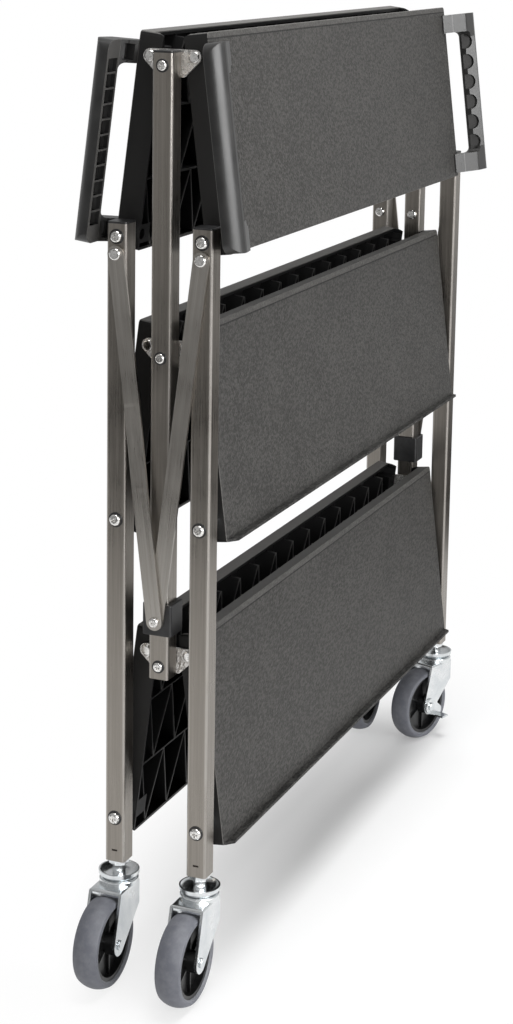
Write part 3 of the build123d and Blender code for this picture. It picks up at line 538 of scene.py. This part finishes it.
# Bolts, rivets, pins and screws: bright nickel-plated steel, polished on the heads, with a few turning
# scratches and darker marks.
NICKEL_DARK = (0.36, 0.35, 0.335, 1)
NICKEL_BRIGHT = (0.84, 0.83, 0.81, 1)
NICKEL_RANGE = (0.32, 0.55)
NICKEL_ROUGH = (0.1, 0.24)

nickel = new_finish("bright_nickel", Metallic=1.0)
nickel_place = local_place(nickel)
nickel_marks = noise(nickel, nickel_place, scale=420, detail=4, rough=0.65)
nickel_shine = spread(nickel, nickel_marks, NICKEL_RANGE)
to_shader(
    nickel,
    Base_Color=mix_colours(nickel, nickel_shine, NICKEL_DARK, NICKEL_BRIGHT),
    Roughness=spread(nickel, nickel_marks, USUAL_RANGE, NICKEL_ROUGH),
    Normal=bump(nickel, nickel_marks, strength=0.15, distance=0.0003),
)
for fastener in (
    "left_leg_bolts", "right_leg_bolts", "left_brace_rivets", "right_brace_rivets", "bracket_screws",
    "hinge_pins", "left_grip_screws", "right_grip_screws", "near_brace_screw", "far_brace_screw",
):
    dress(fastener, nickel)

# Washers: thin black nylon rings under the heads of the leg bolts and bracket screws. They are punched
# from sheet, and only a rim of each shows round its head.
WASHER_THICK = 0.0009
WASHER_EDGE = 0.0003
BOLT_RING = (0.0064, 0.0081)  # inner and outer radius
SCREW_RING = (0.0054, 0.0070)
SCREW_DROP = 0.008  # from the hinge pins down to the bracket screw
OUTWARDS = (-1, 1)  # along X, at the near and far end


def washer(shape, x, y, z, out, ring):
    """Adds a flat ring to a mesh, standing out from a tube face along X."""
    inner, outer = ring
    section = [(0, inner), (WASHER_THICK, inner), (WASHER_THICK, outer - WASHER_EDGE)]
    section += [(WASHER_THICK - WASHER_EDGE, outer), (0, outer)]
    verts = [shape.verts.new((x + out * far, y, z + reach)) for far, reach in section]
    edges = [shape.edges.new((verts[k - 1], verts[k])) for k in range(len(verts))]
    bmesh.ops.spin(
        shape, geom=verts + edges, cent=(x, y, z), axis=(1, 0, 0), angle=2 * pi, steps=40, use_merge=True
    )


def new_object(name, shape, finish):
    """Turns a mesh under construction into an object with a finish."""
    mesh = bpy.data.meshes.new(name)
    shape.to_mesh(mesh)
    shape.free()
    mesh.materials.append(finish)
    made = bpy.data.objects.new(name, mesh)
    bpy.context.scene.collection.objects.link(made)
    return made


def finished_piece(name, shape, finish, body):
    """Turns a mesh under construction into a named piece that moves with a body."""
    bmesh.ops.recalc_face_normals(shape, faces=shape.faces[:])
    piece = new_object(name, shape, finish)
    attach(piece, body)


leg_faces = (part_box("near_left_leg")[0].x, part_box("far_left_leg")[1].x)
post_faces = (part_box("near_post")[0].x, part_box("far_post")[1].x)
bolt_places = [joint_of(name)["pos_m"] for name in ("fold", "left_mid_bolts", "left_low_bolts")]
pin_places = [joint_of(f"right_{level}_pins")["pos_m"] for level in ("top", "mid", "low")]
for side, hand in (("left", 1), ("right", -1)):
    rings = bmesh.new()
    for bolt in bolt_places:
        for x, out in zip(leg_faces, OUTWARDS):
            washer(rings, x, hand * bolt[1], bolt[2], out, BOLT_RING)
    finished_piece(side + "_bolt_washers", rings, nylon, side + "_legs")
rings = bmesh.new()
for pin in pin_places:
    for x, out in zip(post_faces, OUTWARDS):
        washer(rings, x, 0, pin[2] - SCREW_DROP, out, SCREW_RING)
finished_piece("screw_washers", rings, nylon, "centre_frame")

# Floor: a sheet of white studio paper. It keeps the shadow under the trolley, and round that it fades to
# plain white, for the eye and for what mirrors it.
PAPER_WHITE = (0.9, 0.9, 0.9, 1)
GLOW_WHITE = (1, 1, 1, 1)
FLOOR_HALF = 80.0
SHADOW_CENTRE = (0.12, -0.12, 0.0)
SHADOW_SIZE = (0.62, 0.3, 1.0)
SHADOW_RANGE = (0.35, 1.15)  # in shadow sizes from its centre
FRONT_RANGE = (-1.6, -0.4)  # metres along X, where the glow starts in front of the trolley

paper = bpy.data.materials.new("white_paper")
paper.use_nodes = True
paper.node_tree.nodes.clear()
ahead, _, _ = axes(paper, add(paper, "TexCoord").outputs["Object"])
dull = add(paper, "BsdfDiffuse", None, {"Color": PAPER_WHITE})
glow = add(paper, "Emission", None, {"Color": GLOW_WHITE, "Strength": 1.0})
path = add(paper, "LightPath")
seen = calc(paper, "MAXIMUM", path.outputs["Is Camera Ray"], path.outputs["Is Glossy Ray"])
seen = calc(paper, "MAXIMUM", seen, path.outputs["Is Transmission Ray"])
off_shadow = local_place(paper, SHADOW_CENTRE, stretch=SHADOW_SIZE)
away = add(paper, "VectorMath", {"operation": "LENGTH"}, {0: off_shadow}).outputs["Value"]
fade = spread(paper, away, SHADOW_RANGE)
fade = calc(paper, "MULTIPLY", fade, spread(paper, ahead, FRONT_RANGE))
glowing = calc(paper, "MULTIPLY", seen, fade)
blend = add(paper, "MixShader", None, {0: glowing, 1: dull.outputs[0], 2: glow.outputs[0]})
add(paper, "OutputMaterial", None, {"Surface": blend.outputs[0]})

sheet = bmesh.new()
bmesh.ops.create_grid(sheet, x_segments=1, y_segments=1, size=FLOOR_HALF)
floor = new_object("floor", sheet, paper)

# Room and lamps: pale walls, lighter on the lit side, a soft lamp overhead and a broad softbox on the
# right. A bright card beside the softbox shows only in reflections.
WALL_DIM = (0.28, 0.28, 0.28, 1)
WALL_LIT = (0.92, 0.92, 0.92, 1)
CEILING = (0.5, 0.5, 0.5, 1)
LIT_SIDE = (0.6, -0.8)  # direction of the lit side, along X and Y
LIT_RANGE = (-0.4, 0.6)
CEILING_RANGE = (0.0, 0.8)
SIDE_AIM = (-0.2, 0.0, 0.75)

room = bpy.data.worlds.new("studio")
bpy.context.scene.world = room
room.use_nodes = True
x, y, z = axes(room, add(room, "TexCoord").outputs["Generated"])
lit = spread(room, weighed(room, x, LIT_SIDE[0], y, LIT_SIDE[1]), LIT_RANGE)
walls = mix_colours(room, lit, WALL_DIM, WALL_LIT)
room_colour = mix_colours(room, spread(room, z, CEILING_RANGE), walls, CEILING)
room.node_tree.links.new(room_colour, room.node_tree.nodes["Background"].inputs["Color"])


def soft_lamp(name, place, aim, size, watts):
    """A rectangular lamp at a place, turned towards its aim."""
    lamp = bpy.data.lights.new(name, "AREA")
    lamp.shape = "RECTANGLE"
    lamp.size, lamp.size_y = size
    lamp.energy = watts
    holder = bpy.data.objects.new(name, lamp)
    bpy.context.scene.collection.objects.link(holder)
    holder.location = place
    holder.rotation_euler = (Vector(aim) - Vector(place)).to_track_quat("-Z", "Y").to_euler()
    return holder


soft_lamp("overhead_softbox", place=(-0.2, -0.4, 3.4), aim=(0.0, 0.0, 0.3), size=(1.3, 1.3), watts=76)
side_lamp = soft_lamp("right_softbox", place=(-1.1, -2.5, 1.0), aim=SIDE_AIM, size=(1.9, 1.8), watts=42)
side_lamp.visible_glossy = False
shine_card = soft_lamp("shine_card", place=(-1.65, -2.52, 1.55), aim=SIDE_AIM, size=(3.0, 1.4), watts=134)
shine_card.visible_diffuse = False

# Dark felt flags, laid on the floor and seen only in reflections, as when polished tube is photographed:
# the fronts of the legs go dark in the front one, and their upper right sides in the back one.
FELT_BLACK = (0.03, 0.028, 0.026, 1)

black_felt = new_finish("black_felt", Base_Color=FELT_BLACK, Roughness=0.9)


def dark_flag(name, middle, turn, halves):
    """A flat sheet of felt, given by its middle, its turn about Z and half of its two sides."""
    felt = bmesh.new()
    bmesh.ops.create_grid(felt, x_segments=1, y_segments=1, size=1.0)
    place = Matrix.Translation(middle) @ Matrix.Rotation(turn, 4, "Z") @ Matrix.Diagonal((*halves, 1, 1))
    bmesh.ops.transform(felt, matrix=place, verts=felt.verts)
    flag = new_object(name, felt, black_felt)
    flag.visible_camera = flag.visible_diffuse = flag.visible_shadow = flag.visible_transmission = False


dark_flag("front_flag", middle=(-2.95, 1.2, 0.01), turn=0.0, halves=(1.1, 1.5))
dark_flag("back_flag", middle=(4.29, -2.16, 0.01), turn=radians(-24.1), halves=(3.5, 0.9))

# Camera: standing in front of the near end and to its right, a little above the trolley. The frame is
# shifted down, so that the trolley stands in it as in the photograph.
CAMERA_SPOT = (-2.34849, -0.91877, 1.14868)

camera_data = bpy.data.cameras.new("camera")
camera_data.lens = 74.71
camera_data.shift_y = -0.207
camera = bpy.data.objects.new("camera", camera_data)
bpy.context.scene.collection.objects.link(camera)
right = Vector((0.38500, -0.92279, 0.01512))
up = Vector((0.15756, 0.08186, 0.98411))
back = -Vector((0.90937, 0.37651, -0.17691))
turn = Matrix((right, up, back)).transposed().to_4x4()
camera.matrix_world = Matrix.Translation(CAMERA_SPOT) @ turn
bpy.context.scene.camera = camera
bpy.context.scene.view_settings.view_transform = "Standard"
